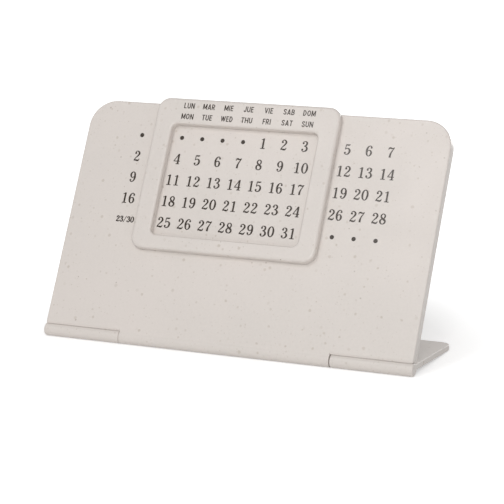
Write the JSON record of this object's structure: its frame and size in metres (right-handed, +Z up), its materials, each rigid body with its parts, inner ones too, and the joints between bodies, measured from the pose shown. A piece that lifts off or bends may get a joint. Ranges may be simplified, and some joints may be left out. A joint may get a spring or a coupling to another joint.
{
  "type": "perpetual calendar",
  "caption": "Desk perpetual calendar: a printed plate leans on a hinged foot, and a slider with a window frames seven columns of dates under weekday names.",
  "frame": {"origin": "middle of the footprint, at table height", "axes": "+X to the right as a reader sees it, +Y to the back, +Z up"},
  "size_m": [0.1406, 0.048, 0.0834],
  "materials": {
    "speckled_plastic": "satin off-white moulded plastic with sparse tan flecks"
  },
  "bodies": {
    "foot": {"foot": "speckled_plastic"},
    "plate": {"calendar_plate": "speckled_plastic"},
    "slider": {"slider": "speckled_plastic"}
  },
  "joints": [
    {"name": "plate_hinge", "type": "hinge", "parent": "foot", "child": "plate", "pos_m": [0, -0.0216, 0.00235], "axis": [1, 0, 0], "range_deg": [0, 115.13]},
    {"name": "slider_slide", "type": "slide", "parent": "plate", "child": "slider", "axis": [1, 0, 0], "range_m": [-0.0168, 0.0315]}
  ]
}
